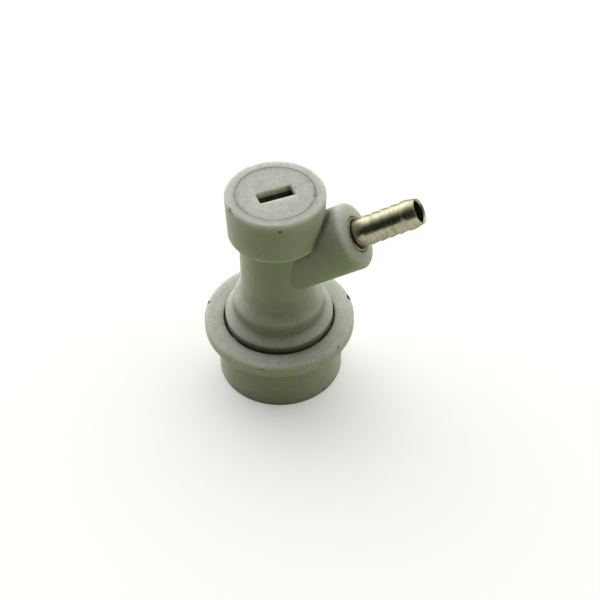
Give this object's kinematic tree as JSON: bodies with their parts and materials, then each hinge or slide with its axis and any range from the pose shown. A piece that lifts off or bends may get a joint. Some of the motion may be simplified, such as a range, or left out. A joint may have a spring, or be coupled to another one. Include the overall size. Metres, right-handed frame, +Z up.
{
  "type": "gas keg disconnect",
  "caption": "Push-on gas fitting for a keg post: sprung lift collar with locking balls, valve poppet, screw cap and an angled hose barb.",
  "frame": {"origin": "centre of the collar's foot, on the axis of the post socket", "axes": "+Z up along the socket's axis, away from the keg post; the hose barb points towards +X and up"},
  "size_m": [0.054, 0.038, 0.0586],
  "materials": {
    "body_plastic": "light warm grey moulded plastic, finely speckled, with soft wear",
    "cap_plastic": "light warm grey moulded plastic, flush screw cap",
    "collar_plastic": "light warm grey moulded plastic with nicks on the rim",
    "poppet_plastic": "pale moulded plastic",
    "barb_metal": "turned and nickel plated, slightly yellowed",
    "ball_steel": "polished ball steel",
    "ring_steel": "bright spring steel",
    "spring_steel": "drawn stainless wire",
    "seal_rubber": "black moulded rubber"
  },
  "bodies": {
    "body": {"body": "body_plastic", "hose_barb": "barb_metal", "retaining_ring": "ring_steel", "collar_spring": "spring_steel", "poppet_spring": "spring_steel"},
    "collar": {"collar": "collar_plastic"},
    "ball_1": {"ball_1": "ball_steel"},
    "ball_2": {"ball_2": "ball_steel"},
    "ball_3": {"ball_3": "ball_steel"},
    "ball_4": {"ball_4": "ball_steel"},
    "poppet": {"poppet": "poppet_plastic", "poppet_seal": "seal_rubber"},
    "cap_seal": {"cap_seal": "seal_rubber"},
    "top_cap": {"top_cap": "cap_plastic"}
  },
  "joints": [
    {"name": "collar_slide", "type": "slide", "parent": "body", "child": "collar", "axis": [0, 0, 1], "range_m": [0, 0.004], "stiffness_N_per_m": 1500, "springref_m": -0.004, "deforming": ["collar_spring"]},
    {"name": "ball_1_slide", "type": "slide", "parent": "body", "child": "ball_1", "axis": [1, 0, 0], "range_m": [0, 0.0011]},
    {"name": "ball_2_slide", "type": "slide", "parent": "body", "child": "ball_2", "axis": [0, 1, 0], "range_m": [0, 0.0011]},
    {"name": "ball_3_slide", "type": "slide", "parent": "body", "child": "ball_3", "axis": [-1, 0, 0], "range_m": [0, 0.0011]},
    {"name": "ball_4_slide", "type": "slide", "parent": "body", "child": "ball_4", "axis": [0, -1, 0], "range_m": [0, 0.0011]},
    {"name": "poppet_slide", "type": "slide", "parent": "body", "child": "poppet", "axis": [0, 0, 1], "range_m": [0, 0.003], "stiffness_N_per_m": 500, "springref_m": -0.004, "deforming": ["poppet_spring"]},
    {"name": "cap_lift", "type": "slide", "parent": "body", "child": "cap_seal", "axis": [0, 0, 1], "range_m": [0, 0.006]},
    {"name": "cap_turn", "type": "hinge", "parent": "cap_seal", "child": "top_cap", "pos_m": [0, 0, 0.0576], "axis": [0, 0, 1], "range_deg": [0, 1080]}
  ],
  "couplings": [
    {"joint": "ball_1_slide", "follows": "collar_slide", "ratio": 0.275},
    {"joint": "ball_2_slide", "follows": "collar_slide", "ratio": 0.275},
    {"joint": "ball_3_slide", "follows": "collar_slide", "ratio": 0.275},
    {"joint": "ball_4_slide", "follows": "collar_slide", "ratio": 0.275},
    {"joint": "cap_lift", "follows": "cap_turn", "m_per_rad": 0.00031831}
  ]
}
